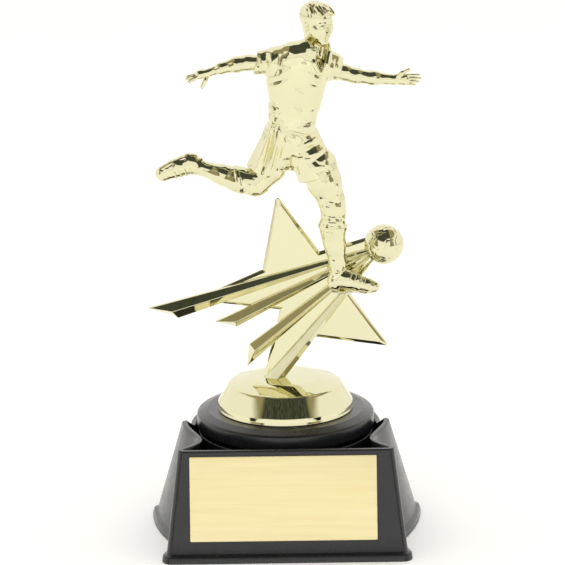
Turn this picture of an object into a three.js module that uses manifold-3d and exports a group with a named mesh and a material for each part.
// Figure trophy: a gold player, star, comet trail and ball on a domed figure base, clamped by one
// threaded stud to a black round platform inside a hollow black base shell with an engraving plate.
// Millimetres, +Z up. The origin is on the stud's axis, in the plane that the trophy stands on.
// The front, where the engraving plate is, faces -Y.
import * as THREE from "three";
import { mergeVertices } from "three/addons/utils/BufferGeometryUtils.js";
import Module from "manifold-3d";

// ---- Driving dimensions: base ----
const drumRadius = 31; // the round drum inside the shell
const drumWall = 2;
const drumTopHeight = 33;
const moatWidth = 5.8; // from the drum to the outside of the front panel's rim
const sideMoatWidth = 4.9; // from the drum to the outside of each side lobe's rim
const shellWall = 1.7;
const shellHeight = 36.6;
const rearStep = 1.8; // the rear wall stops this much lower than the front rim
const panelLean = 9.4; // how far each wall moves outwards from its rim down to the flange
const panelHalfWidth = 36.7; // at the rim
const panelCornerRadius = 2.2;
const valleyDepth = 13; // from the front panel's face to the bottom of the valley behind its end
const valleyClearance = 6; // from the drum to the bottom of the valley, inside the wall
const lobeCorner = 2;
const lobeEnd = -1.9; // where the side lobe's rim stops, front to back
const lobeBulge = 1.2; // how much fuller the lobe's front gets for each mm that the wall leans out
const flangeHeight = 2.5;
const flangeReach = 1.3;
const floorHeight = 10;
const floorThickness = 2;
const ribThickness = 1.2;
const capHeight = 7.6; // from the drum's top to the platform's flat top
const capRadius = 30.7;
const capChamfer = 3.4;
const capChamferDrop = 1.4;
const capSkirtFlare = 0.3;
const capWall = 2;
const grooveHeight = 1.5; // the dark groove between the cap's skirt and the drum
const weightSideGap = 1.2;
const feltThickness = 1.2;
const feltSideGap = 0.4;

// ---- Driving dimensions: engraving plate ----
const plateWidth = 63.5;
const plateHeight = 28.7;
const plateThickness = 0.7;
const tapeThickness = 0.4;
const tapeMargin = 1.5;
const plateSideShift = -1.1;
const plateMiddle = 0.46; // share of the panel's height, down from the rim

// ---- Driving dimensions: clamp ----
const studRadius = 3;
const threadGap = 0.06;
const studHoleGap = 0.3;
const studTail = 2.2; // how far the stud's end stays above the ground
const nutAcrossFlats = 10;
const nutThickness = 4;
const washerRadius = 7;
const washerThickness = 1.1;
const springWasherRadius = 5.4;
const springWasherThickness = 1.3;
const turnGap = 0.1; // between faces that slide on each other when the figure turns
const seatGap = 0.3; // between glued or pressed pieces

// ---- Driving dimensions: gold figure ----
const domeRadius = 23.4;
const domeHeight = 11.3;
const domeLip = 1.1;
const domeWall = 1.8;
const domeBossRadius = 6;
const starThickness = 2;
const starBevel = 0.6;
const barBase = 1.1; // straight side of a trail bar
const barRidge = 2.3; // height of its ridge above the straight side
const barInnerHalfWidth = 0.42;
const ballRadius = 6.9;
const ballWall = 1.2;
const playerDepth = -7.5; // the player's parting plane, in front of the star
const playerWall = 2;
const partingGap = 0.06;

// Star outline about the stud axis and the platform's top: five tips and the valleys between them.
const starTips = [[-2, 75], [34.4, 62], [35.6, 21.9], [-8, 7.4], [-30, 39.2]];
const starValleys = [[12.4, 55.8], [22.7, 40.8], [10.2, 25.3], [-1.5, 35.2], [-7.3, 49.6]];
const ballPlace = [34.6, 58];

// Free ends of the trail bars, which all point at the ball: the upper and the lower corner and the
// end of the ridge between them.
const trailBars = [
  { upper: [-47, 36.8], ridge: [-38.7, 36], lower: [-36.7, 33.1] },
  { upper: [-24.1, 31.6], ridge: [-16.7, 32.2], lower: [-16.7, 29.6] },
  { upper: [-12.3, 23.4], ridge: [-10.4, 21.5], lower: [-13.1, 15.4] },
  { upper: [-10.6, 7], ridge: [-7, 5.8], lower: [-3.4, 6.6] },
];

// Player: chains of round sections, each [across, forward of the parting plane, up from the
// platform's top, radius]. Left and right are the viewer's.
const limbs = {
  neck: [[12.4, 0, 132.5, 3.1], [11.8, 0, 126.5, 3.4]],
  leftShoulder: [[8.6, -0.4, 129.4, 3.6], [4, -0.4, 127.6, 4], [-1.4, 0, 124.8, 4.6]],
  leftSleeve: [[-1.4, 0, 124.8, 4.6], [-5, 0, 123.9, 4.4], [-8.6, 0.2, 123.9, 3.4]],
  leftForearm: [[-8.6, 0.3, 124.1, 2.6], [-15, 0.5, 123.8, 2.5], [-20, 0.4, 122.6, 1.8], [-24.2, 0.2, 121.1, 1.3]],
  leftHand: [[-24.2, 0.2, 121.1, 1.3], [-27.8, 0, 120.3, 1.5], [-31.4, 0, 118.9, 0.8]],
  leftThumb: [[-25, 0.2, 120.2, 0.9], [-26.3, 0.8, 116.9, 0.5]],
  rightShoulder: [[12, 0, 126.6, 3.6], [16.4, 0, 122.9, 4.8], [20.3, 0.2, 121.3, 3.8]],
  rightForearm: [[20, 0.3, 120.8, 2.8], [25, 0.5, 119, 2.4], [31, 0.4, 118.3, 2.3], [38.2, 0.2, 117.7, 1.7]],
  rightHand: [[38.2, 0.2, 117.7, 1.7], [42, 0, 117.9, 2], [45.9, 0, 117.9, 1.2]],
  rightThumb: [[39.6, 0.4, 119, 0.9], [42.8, 1, 121.2, 0.6]],
  leftKnee: [[-3, 0.4, 86, 4.9], [-9.4, 0.6, 82.4, 4.4]],
  leftShin: [[-9.4, 0.6, 82.4, 4.4], [-15, -0.6, 83.6, 4.1], [-20.5, -2, 85.1, 3.2], [-27.8, -4, 87.2, 2.4]],
  leftBoot: [[-27.8, -4, 87.2, 2.5], [-31.2, -4.6, 88.8, 3.3], [-40.2, -4.4, 85.3, 2.7]],
  rightKnee: [[13.9, 0.2, 82.4, 5.4], [16.6, 0.6, 75.6, 4], [17.2, 0.6, 72.4, 3.8]],
  rightShin: [[17.2, 0.6, 72.4, 3.8], [16.9, 0, 65.8, 4.1], [17.6, 0, 59.6, 3.3], [18.4, 0, 52, 2.5]],
  rightHeel: [[18.4, 0, 52, 2.5], [17.9, 0, 46.4, 2.5]],
  rightBoot: [[18.6, 0, 47, 3], [23, 0.2, 47.2, 3.1], [28.4, 0.6, 45.6, 2.4], [31, 0.8, 45.2, 1.8]],
};
const torsoLimbs = {
  chestLeft: [[1.6, 0, 120.6, 6.2], [1, 0, 115, 5.6], [1.1, 0, 109, 5.3], [1.2, 0, 104, 5.4]],
  chestRight: [[9.4, 0, 119.6, 6.2], [8.8, 0, 115, 5.6], [7.6, 0, 109, 5.3], [6.2, 0, 103.6, 5.4]],
  chestMiddle: [[5.6, 0.2, 121.4, 6.4], [4.6, 0.2, 112, 6.1], [3.8, 0.2, 103, 6]],
  leftLegOfShorts: [[1.4, 0, 98.4, 6.3], [-3, 0.2, 92, 6.3], [-6.6, 0.4, 87, 5.8]],
  rightLegOfShorts: [[6.6, 0, 98, 6.2], [10.4, 0, 92, 6.5], [12.3, 0, 88, 6.5]],
};
const headMiddle = [12.4, 0, 138.8];

// ---- Derived sizes ----
const capTop = drumTopHeight + capHeight;
const frontReach = drumRadius + moatWidth;
const sideReach = drumRadius + sideMoatWidth;
const rearReach = Math.max(capRadius + capSkirtFlare, drumRadius) + shellWall + seatGap;
const floorTop = floorHeight + floorThickness;
const studTop = capTop + domeHeight - domeWall - 0.6;

// ---- Booleans ----
const wasm = await Module();
wasm.setup();

function solidOf(geometry) {
  const bare = geometry.index ? geometry.toNonIndexed() : geometry.clone();
  bare.deleteAttribute("normal");
  bare.deleteAttribute("uv");
  const merged = mergeVertices(bare, 1e-4);
  return new wasm.Manifold(
    new wasm.Mesh({
      numProp: 3,
      vertProperties: new Float32Array(merged.attributes.position.array),
      triVerts: new Uint32Array(merged.index.array),
    }),
  );
}

function geometryOf(solid) {
  const mesh = solid.getMesh();
  const geometry = new THREE.BufferGeometry();
  geometry.setAttribute("position", new THREE.BufferAttribute(mesh.vertProperties, 3));
  geometry.setIndex(new THREE.BufferAttribute(mesh.triVerts, 1));
  geometry.computeVertexNormals();
  return geometry;
}

const joined = (solids) => solids.reduce((whole, piece) => whole.add(piece));

// ---- Shape helpers ----
// A solid turned about the vertical axis from [radius, height] points that start and end on the
// axis, or close on themselves.
function turned(points, segments = 60) {
  const geometry = new THREE.LatheGeometry(points.map(([r, z]) => new THREE.Vector2(r, z)), segments);
  geometry.rotateX(Math.PI / 2);
  const solid = solidOf(geometry);
  return solid.volume() < 0 ? solidOf(flipped(geometry)) : solid;
}

function flipped(geometry) {
  const bare = geometry.index ? geometry.toNonIndexed() : geometry.clone();
  const p = bare.attributes.position;
  for (let i = 0; i < p.count; i += 3) {
    const a = new THREE.Vector3().fromBufferAttribute(p, i + 1);
    const b = new THREE.Vector3().fromBufferAttribute(p, i + 2);
    p.setXYZ(i + 1, b.x, b.y, b.z);
    p.setXYZ(i + 2, a.x, a.y, a.z);
  }
  return bare;
}

function block(from, to) {
  const size = to.map((high, i) => high - from[i]);
  const geometry = new THREE.BoxGeometry(...size);
  geometry.translate(...to.map((high, i) => (high + from[i]) / 2));
  return solidOf(geometry);
}

function ring(inner, outer, low, high, segments = 36) {
  return turned([[inner, low], [outer, low], [outer, high], [inner, high], [inner, low]], segments);
}

// A closed solid through rings of points that all have the same count, capped by fans at both ends.
function lofted(rings) {
  const count = rings[0].length;
  const points = rings.flat();
  const faces = [];
  for (let level = 0; level + 1 < rings.length; level++) {
    for (let i = 0; i < count; i++) {
      const j = (i + 1) % count;
      const a = level * count + i;
      const b = level * count + j;
      faces.push([a, b, b + count], [a, b + count, a + count]);
    }
  }
  for (const [level, reverse] of [[0, true], [rings.length - 1, false]]) {
    const middle = points.length;
    const around = rings[level];
    points.push([0, 1, 2].map((axis) => around.reduce((sum, p) => sum + p[axis], 0) / count));
    for (let i = 0; i < count; i++) {
      const a = level * count + i;
      const b = level * count + ((i + 1) % count);
      faces.push(reverse ? [middle, b, a] : [middle, a, b]);
    }
  }
  const geometry = new THREE.BufferGeometry();
  geometry.setAttribute("position", new THREE.Float32BufferAttribute(points.flat(), 3));
  geometry.setIndex(faces.flat());
  const solid = solidOf(geometry);
  return solid.volume() < 0 ? solidOf(flipped(geometry)) : solid;
}

// ---- Base outline ----
// The deepest point of the valley behind the right end of the front panel, in plan.
function valleyBottom(spread) {
  const diagonal = (drumRadius + valleyClearance + shellWall) * Math.SQRT1_2;
  const across = Math.max(diagonal + 3, panelHalfWidth - 6.4) + 0.7 * spread;
  const back = -(frontReach + spread) + valleyDepth + 0.3 * spread;
  return [across, back];
}

// The shell's outside in plan, pushed outwards by `spread` from its place at the rim. The front
// panel ends in round corners, a valley runs in behind each end, and the side lobe runs back to a
// corner where the round rear wall takes over.
function shellOutline(spread) {
  const front = -(frontReach + spread);
  const half = panelHalfWidth + 0.46 * spread;
  const corner = panelCornerRadius;
  const [across, back] = valleyBottom(spread);
  const side = sideReach + spread;
  const sideEnd = lobeEnd + 0.9 * spread;
  const rear = rearReach + spread;
  const start = Math.asin(sideEnd / rear);
  const path = new THREE.Path();
  path.moveTo(0, front);
  path.lineTo(half - corner, front);
  path.absarc(half - corner, front + corner, corner, -Math.PI / 2, 0, false);
  path.bezierCurveTo(half - 0.3, front + corner + 2.4, across, back - 5.4, across, back);
  const bulge = lobeBulge * spread;
  path.bezierCurveTo(across + 0.12 * spread, back + 5.4, side - 0.3, sideEnd - 10 - bulge, side, sideEnd - lobeCorner);
  path.absarc(side - lobeCorner, sideEnd - lobeCorner, lobeCorner, 0, Math.PI / 2, false);
  path.absarc(0, 0, rear, start, Math.PI / 2, false);
  const right = withoutRepeats(path.getPoints(8)).slice(0, -1);
  const rearMost = new THREE.Vector2(0, rear);
  const left = right.slice(1).reverse().map((p) => new THREE.Vector2(-p.x, p.y));
  return [...right, rearMost, ...left];
}

const withoutRepeats = (points) => points.filter((p, i) => i === 0 || p.distanceTo(points[i - 1]) > 1e-3);

// The same outline moved inwards by `inset`, square to itself.
function inwards(outline, inset) {
  return outline.map((point, i) => {
    const before = outline.at(i - 1);
    const after = outline[(i + 1) % outline.length];
    const one = point.clone().sub(before).normalize();
    const two = after.clone().sub(point).normalize();
    const along = one.clone().add(two).normalize();
    const stretch = 1 / Math.max(0.6, Math.abs(along.dot(two)));
    return new THREE.Vector2(point.x - along.y * inset * stretch, point.y + along.x * inset * stretch);
  });
}

const spreadAt = (height) => (panelLean * (shellHeight - height)) / (shellHeight - flangeHeight);
const level = (outline, height) => outline.map((p) => [p.x, p.y, height]);

function baseShell() {
  const low = spreadAt(flangeHeight);
  const outside = lofted([
    level(shellOutline(low), flangeHeight - 0.4),
    level(shellOutline(spreadAt(flangeHeight)), flangeHeight),
    level(shellOutline(0), shellHeight),
  ]);
  const flange = lofted([
    level(inwards(shellOutline(low), -flangeReach), 0),
    level(inwards(shellOutline(low), -flangeReach), flangeHeight),
  ]);
  const above = shellHeight + 1;
  const inside = lofted([
    level(inwards(shellOutline(spreadAt(-1)), shellWall), -1),
    level(inwards(shellOutline(spreadAt(above)), shellWall), above),
  ]);
  const middle = (height) => level(inwards(shellOutline(spreadAt(height)), shellWall / 2), height);
  const floor = lofted([middle(floorHeight), middle(floorTop)]);
  const hole = ring(0, studRadius + studHoleGap, floorHeight - 1, floorTop + 1, 36);
  const wide = 2 * sideReach;
  const rear = block([-wide, lobeEnd, shellHeight - rearStep], [wide, 2 * wide, above]);
  const ears = sideReach - shellWall;
  const between = block([-ears, lobeEnd - shellWall - 2, shellHeight - rearStep], [ears, lobeEnd + 1, above]);
  const shell = outside.add(flange).subtract(inside).add(floor).subtract(hole);
  const ribs = valleyRib(1).add(valleyRib(-1)).intersect(outside);
  return shell.subtract(rear).subtract(between).add(ribs);
}

// A thin upright rib between the front panel and the bottom of the valley, inside the shell.
function valleyRib(side) {
  const [across, back] = valleyBottom(0);
  const x = side * (across - shellWall - ribThickness);
  const top = drumTopHeight - 1;
  const front = -(frontReach + panelLean);
  return block([x - ribThickness / 2, front, floorTop - 0.5], [x + ribThickness / 2, back - 1, top]);
}

function felt() {
  const outline = inwards(shellOutline(spreadAt(feltThickness)), shellWall + feltSideGap);
  return lofted([level(outline, 0), level(outline, feltThickness)]);
}

function counterweight() {
  const height = floorHeight - seatGap;
  const bottom = feltThickness + turnGap;
  const reach = rearReach + spreadAt(height) - shellWall - weightSideGap;
  const pocket = washerRadius + 2;
  const disc = ring(studRadius + studHoleGap, reach, bottom, height, 64);
  return disc.subtract(ring(0, pocket, bottom - 1, height + 1, 36));
}

function drum() {
  const hole = studRadius + studHoleGap;
  const inner = drumRadius - drumWall;
  const web = drumTopHeight - drumWall;
  return turned([
    [hole, web], [inner, web], [inner, floorTop], [drumRadius, floorTop],
    [drumRadius, drumTopHeight], [hole, drumTopHeight], [hole, web],
  ]);
}

// The round platform: flat top, chamfered edge, hanging skirt, and an inner ring and a hub that
// stand on the drum and leave the groove under the skirt.
function platformCap() {
  const hole = studRadius + studHoleGap;
  const edge = capTop - capChamferDrop;
  const skirtLow = drumTopHeight + grooveHeight;
  const under = capTop - capChamferDrop - capWall;
  const ringOuter = capRadius - capWall - 1;
  const foot = capRadius + capSkirtFlare;
  return turned([
    [hole, drumTopHeight], [hole + 4, drumTopHeight], [hole + 4, under], [ringOuter - 3, under],
    [ringOuter - 3, drumTopHeight], [ringOuter, drumTopHeight], [ringOuter, under],
    [foot - capWall, under], [foot - capWall, skirtLow], [foot, skirtLow], [capRadius + 0.1, edge - 0.6],
    [capRadius - 0.2, edge], [capRadius - capChamfer, capTop - 0.15], [capRadius - capChamfer - 1, capTop],
    [hole, capTop], [hole, drumTopHeight],
  ]);
}

// ---- Engraving plate on the leaning front panel ----
function onPanel() {
  const group = new THREE.Group();
  const height = shellHeight - plateMiddle * (shellHeight - flangeHeight);
  group.position.set(plateSideShift, -(frontReach + spreadAt(height)), height);
  group.rotation.x = -Math.atan2(panelLean, shellHeight - flangeHeight);
  return group;
}

function sheet(width, height, thickness, offset) {
  const geometry = new THREE.BoxGeometry(width, thickness, height);
  geometry.translate(0, -(offset + thickness / 2), 0);
  return solidOf(geometry);
}

// ---- Clamp ----
const springWasherTop = floorHeight - turnGap - washerThickness;
const nutTop = springWasherTop - springWasherThickness - threadGap;

function stud() {
  const height = studTop - studTail;
  const geometry = new THREE.CylinderGeometry(studRadius, studRadius, height, 36);
  geometry.rotateX(Math.PI / 2);
  geometry.translate(0, 0, studTail + height / 2);
  return solidOf(geometry);
}

function nut() {
  const geometry = new THREE.CylinderGeometry(nutAcrossFlats / Math.sqrt(3), nutAcrossFlats / Math.sqrt(3), nutThickness, 6);
  geometry.rotateX(Math.PI / 2);
  geometry.translate(0, 0, nutTop - nutThickness / 2);
  return solidOf(geometry).subtract(ring(0, studRadius + threadGap, -1, nutTop + 1, 36));
}

function flatWasher() {
  return ring(studRadius + studHoleGap, washerRadius, floorHeight - turnGap - washerThickness + 0.02, floorHeight - turnGap, 36);
}

function springWasher() {
  const high = springWasherTop;
  const low = high - springWasherThickness;
  const slot = block([studRadius - 1, -0.5, low - 1], [springWasherRadius + 1, 0.5, high + 1]);
  return ring(studRadius + studHoleGap, springWasherRadius, low, high, 36).subtract(slot);
}

// ---- Dome ----
// The dome's outside, grown by `grow` so that what lands on it can be cut back by a clearance.
function domeProfile(grow) {
  const points = [];
  const steps = 9;
  const rise = domeHeight - domeLip;
  for (let i = 0; i <= steps; i++) {
    const t = (i / steps) * (Math.PI / 2);
    const across = Math.pow(Math.cos(t), 0.86) * (domeRadius + grow);
    const up = Math.pow(Math.sin(t), 0.94) * (rise + grow);
    points.push([i === steps ? 0 : across, capTop + turnGap + domeLip + up]);
  }
  return points;
}

function domeSolid(grow) {
  const low = capTop + turnGap;
  return turned([[0, low - grow], [domeRadius - 0.5 + grow, low - grow], ...domeProfile(grow)]);
}

function domeCap() {
  const low = capTop + turnGap;
  const inner = domeProfile(-domeWall);
  const hollow = turned([[0, low - 1], [inner[0][0], low - 1], ...inner]);
  const boss = ring(studRadius + threadGap, domeBossRadius, low, studTop, 36);
  const plug = ring(0, domeBossRadius, studTop, capTop + domeHeight - 0.4, 36);
  const shell = domeSolid(0).subtract(hollow);
  return joined([shell, boss, plug]).subtract(ring(0, studRadius + threadGap, low - 1, studTop + 0.1, 36));
}

// ---- Star, trail and ball ----
const ballCentre = [ballPlace[0], 0, capTop + ballPlace[1]];

function starOutline(inset) {
  const points = starTips.flatMap((tip, i) => [tip, starValleys[i]]);
  const outline = points.map(([x, z]) => new THREE.Vector2(x, z + capTop));
  return inset ? inwards(outline, -inset) : outline;
}

function starBlank() {
  const face = (inset, y) => starOutline(inset).map((p) => [p.x, y, p.y]);
  const half = starThickness / 2;
  return lofted([
    face(starBevel, -half), face(0, starBevel - half), face(0, half - starBevel), face(starBevel, half),
  ]);
}

function ballSolid(grow) {
  const geometry = new THREE.SphereGeometry(ballRadius + grow, 24, 16);
  geometry.translate(...ballCentre);
  return solidOf(geometry);
}

// One trail bar: a gabled bar that tapers towards the ball, its back on the star's front face.
function barBlank(bar) {
  const back = -starThickness / 2 - seatGap;
  const shoulder = back - barBase;
  const ball = new THREE.Vector2(...ballPlace);
  const section = ([high, crest, low], rise) => [
    [high, back], [high, shoulder], [crest, shoulder - rise], [low, shoulder], [low, back],
  ].map(([corner, y]) => [corner.x, y, corner.y + capTop]);
  const ends = [bar.upper, bar.ridge, bar.lower].map((corner) => new THREE.Vector2(...corner));
  const along = ends[1].clone().sub(ball).normalize();
  const across = new THREE.Vector2(along.y, -along.x);
  const root = ball.clone().addScaledVector(along, ballRadius * 0.9);
  const roots = [1, 0, -1].map((side) => root.clone().addScaledVector(across, side * barInnerHalfWidth));
  return lofted([section(roots, barRidge * 0.45), section(ends, barRidge)]);
}

// ---- Player ----
const up = new THREE.Vector3(0, 1, 0);
const place = ([x, y, z]) => new THREE.Vector3(x, playerDepth - y, z + capTop);

// A limb between two joints: round ends of two radii with a straight taper between, flattened
// front to back by `flat`.
function limb(from, to, r1, r2, grow = 0, segments = 9) {
  const a = place(from);
  const b = place(to);
  const length = a.distanceTo(b);
  const [one, two] = [r1 + grow, r2 + grow];
  const profile = [];
  const steps = 2;
  for (let i = 0; i <= steps; i++) {
    const t = (i / steps) * (Math.PI / 2);
    profile.push(new THREE.Vector2(i ? one * Math.sin(t) : 0, -one * Math.cos(t)));
  }
  for (let i = 0; i <= steps; i++) {
    const t = (i / steps) * (Math.PI / 2);
    profile.push(new THREE.Vector2(i === steps ? 0 : two * Math.cos(t), length + two * Math.sin(t)));
  }
  const geometry = new THREE.LatheGeometry(profile, segments);
  geometry.applyQuaternion(new THREE.Quaternion().setFromUnitVectors(up, b.clone().sub(a).normalize()));
  geometry.translate(a.x, a.y, a.z);
  const solid = solidOf(geometry);
  return solid.volume() < 0 ? solidOf(flipped(geometry)) : solid;
}

function lump(centre, radii, grow = 0, turn = 0) {
  const geometry = new THREE.SphereGeometry(1, 14, 10);
  geometry.scale(...radii.map((r) => r + grow));
  geometry.rotateY(turn);
  const p = place(centre);
  geometry.translate(p.x, p.y, p.z);
  return solidOf(geometry);
}

function chain(sections, grow) {
  const links = sections.slice(1).map((end, i) => {
    const start = sections[i];
    return limb(start.slice(0, 3), end.slice(0, 3), start[3], end[3], grow);
  });
  return joined(links);
}

const chains = (set, grow) => joined(Object.values(set).map((sections) => chain(sections, grow)));

// A plain egg-shaped head with a small nose and a lifted front of hair.
function headSolid(grow) {
  const [x, y, z] = headMiddle;
  const skull = lump([x, y, z], [5.9, 6.2, 5.9], grow);
  const jaw = lump([x + 1, y + 0.8, z - 3.8], [4.4, 4.8, 4], grow);
  const nose = limb([x + 4, y + 4, z - 0.4], [x + 4.6, y + 4.8, z - 2.2], 0.8, 0.9, grow, 8);
  const quiff = limb([x + 1, y + 3.4, z + 4], [x + 5.2, y + 2.4, z + 3.6], 1.6, 1.2, grow, 10);
  return joined([skull, jaw, nose, quiff]);
}

function player(grow) {
  return joined([chains(torsoLimbs, grow), chains(limbs, grow), headSolid(grow)]);
}

// One moulded half of the player, cored out in the torso from the parting plane.
function playerHalf(front) {
  const far = 200;
  const parting = playerDepth + (front ? -partingGap / 2 : partingGap / 2);
  const keep = front ? block([-far, -far, 0], [far, parting, far + capTop]) : block([-far, parting, 0], [far, far, far + capTop]);
  return player(0).subtract(chains(torsoLimbs, -playerWall)).intersect(keep);
}

function ballHalf(front) {
  const far = 20;
  const [x, y, z] = ballCentre;
  const edge = front ? [y - far, y - partingGap / 2] : [y + partingGap / 2, y + far];
  const keep = block([x - far, edge[0], z - far], [x + far, edge[1], z + far]);
  return ballSolid(0).subtract(ballSolid(-ballWall)).intersect(keep);
}

// ---- Materials ----
const finish = (color, roughness, metalness) => new THREE.MeshStandardMaterial({ color, roughness, metalness });
const gold = finish(0xe8cf7a, 0.16, 1);
const blackPlastic = finish(0x17181a, 0.42, 0);
const brushedGold = finish(0xf2e2b0, 0.35, 0.9);
const steel = finish(0xb9bcc0, 0.35, 1);
const castIron = finish(0x4a4845, 0.8, 0.6);
const feltGreen = finish(0x1f2a24, 0.95, 0);
const tapeFoam = finish(0xd9d6cc, 0.9, 0);

// ---- Assembly ----
const trophy = new THREE.Group();

function add(name, solid, material, parent = trophy) {
  const mesh = new THREE.Mesh(geometryOf(solid), material);
  mesh.name = name;
  parent.add(mesh);
}

add("base_shell", baseShell(), blackPlastic);
add("riser_drum", drum(), blackPlastic);
add("platform_cap", platformCap(), blackPlastic);
add("counterweight", counterweight(), castIron);
add("base_felt", felt(), feltGreen);

const panel = onPanel();
trophy.add(panel);
add("plate_tape", sheet(plateWidth - 2 * tapeMargin, plateHeight - 2 * tapeMargin, tapeThickness, turnGap), tapeFoam, panel);
add("engraving_plate", sheet(plateWidth, plateHeight, plateThickness, tapeThickness + 2 * turnGap), brushedGold, panel);

add("figure_stud", stud(), steel);
add("clamp_nut", nut(), steel);
add("flat_washer", flatWasher(), steel);
add("spring_washer", springWasher(), steel);
add("dome_cap", domeCap(), gold);

const landing = domeSolid(seatGap);
const ballRoom = ballSolid(seatGap);
const playerRoom = player(seatGap);
add("star_plate", starBlank().subtract(landing).subtract(ballRoom).subtract(playerRoom), gold);
trailBars.forEach((bar, i) => {
  const solid = barBlank(bar).subtract(landing).subtract(ballRoom).subtract(playerRoom);
  add("trail_bar_" + (i + 1), solid, gold);
});
add("ball_front_half", ballHalf(true), gold);
add("ball_rear_half", ballHalf(false), gold);
add("player_front_half", playerHalf(true), gold);
add("player_rear_half", playerHalf(false), gold);

export default trophy;
